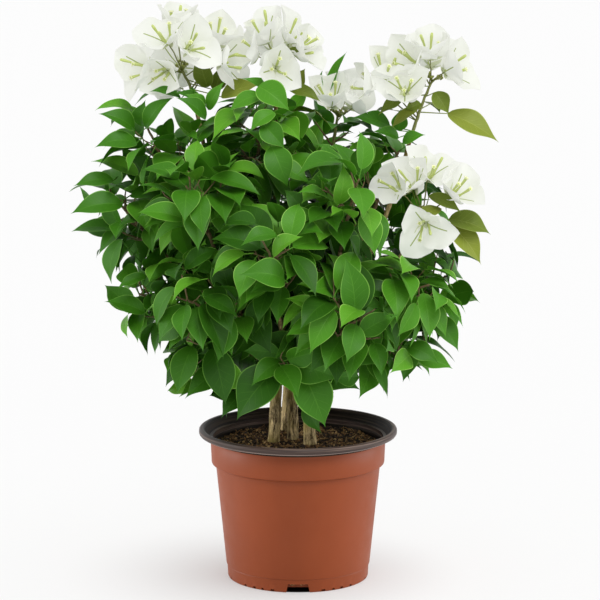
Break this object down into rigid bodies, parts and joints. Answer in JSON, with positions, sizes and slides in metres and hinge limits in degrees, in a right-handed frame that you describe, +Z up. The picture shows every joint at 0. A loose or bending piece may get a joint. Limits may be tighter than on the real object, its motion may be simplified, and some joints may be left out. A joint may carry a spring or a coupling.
{
  "type": "white bougainvillea bush in a nursery pot",
  "caption": "Potted bougainvillea bush: woody stems in soil, a dense round crown of pointed leaves and sprays of papery white bracts, in a two-tone plastic nursery pot.",
  "frame": {"origin": "middle of the pot's flat underside, which stands on the surface", "axes": "+Z up, -Y towards the picture's viewer, +X to the viewer's right"},
  "size_m": [0.3551, 0.3142, 0.4917],
  "materials": {
    "terracotta_plastic": "satin moulded plastic, faint scuffs",
    "dark_plastic": "satin moulded plastic",
    "soil": "coarse coir and bark",
    "bark": "fissured tan bark",
    "leaf": "soft gloss leaf, lighter midrib",
    "bract": "papery, finely veined"
  },
  "bodies": {
    "root": {"pot": "terracotta_plastic", "pot_rim": "dark_plastic", "soil": "soil", "stem_left": "bark", "stem_middle": "bark", "stem_right": "bark", "stem_back": "bark", "bough_left_high": "bark", "bough_left": "bark", "bough_left_low": "bark", "bough_low_left": "bark", "bough_low_front": "bark", "bough_low_right": "bark", "bough_right": "bark", "bough_right_high": "bark", "bough_top": "bark", "bough_front_high_left": "bark", "bough_front_high_right": "bark", "bough_front": "bark", "bough_front_left": "bark", "bough_front_right": "bark", "bough_right_front": "bark", "bough_back_left": "bark", "bough_back_right": "bark", "bough_back_high": "bark", "bough_back_low_left": "bark", "bough_back_low_right": "bark", "bough_bracts_left": "bark", "bough_bracts_top": "bark", "bough_bracts_back": "bark", "bough_bracts_right": "bark", "bough_bracts_low_right": "bark", "left_high": "leaf", "left": "leaf", "left_low": "leaf", "low_left": "leaf", "low_front": "leaf", "low_right": "leaf", "right": "leaf", "right_high": "leaf", "top": "leaf", "front_high_left": "leaf", "front_high_right": "leaf", "front": "leaf", "front_left": "leaf", "front_right": "leaf", "right_front": "leaf", "back_left": "leaf", "back_right": "leaf", "back_high": "leaf", "back_low_left": "leaf", "back_low_right": "leaf", "bracts_left": "bract", "bracts_top": "bract", "bracts_back": "bract", "bracts_right": "bract", "bracts_low_right": "bract"}
  },
  "joints": []
}
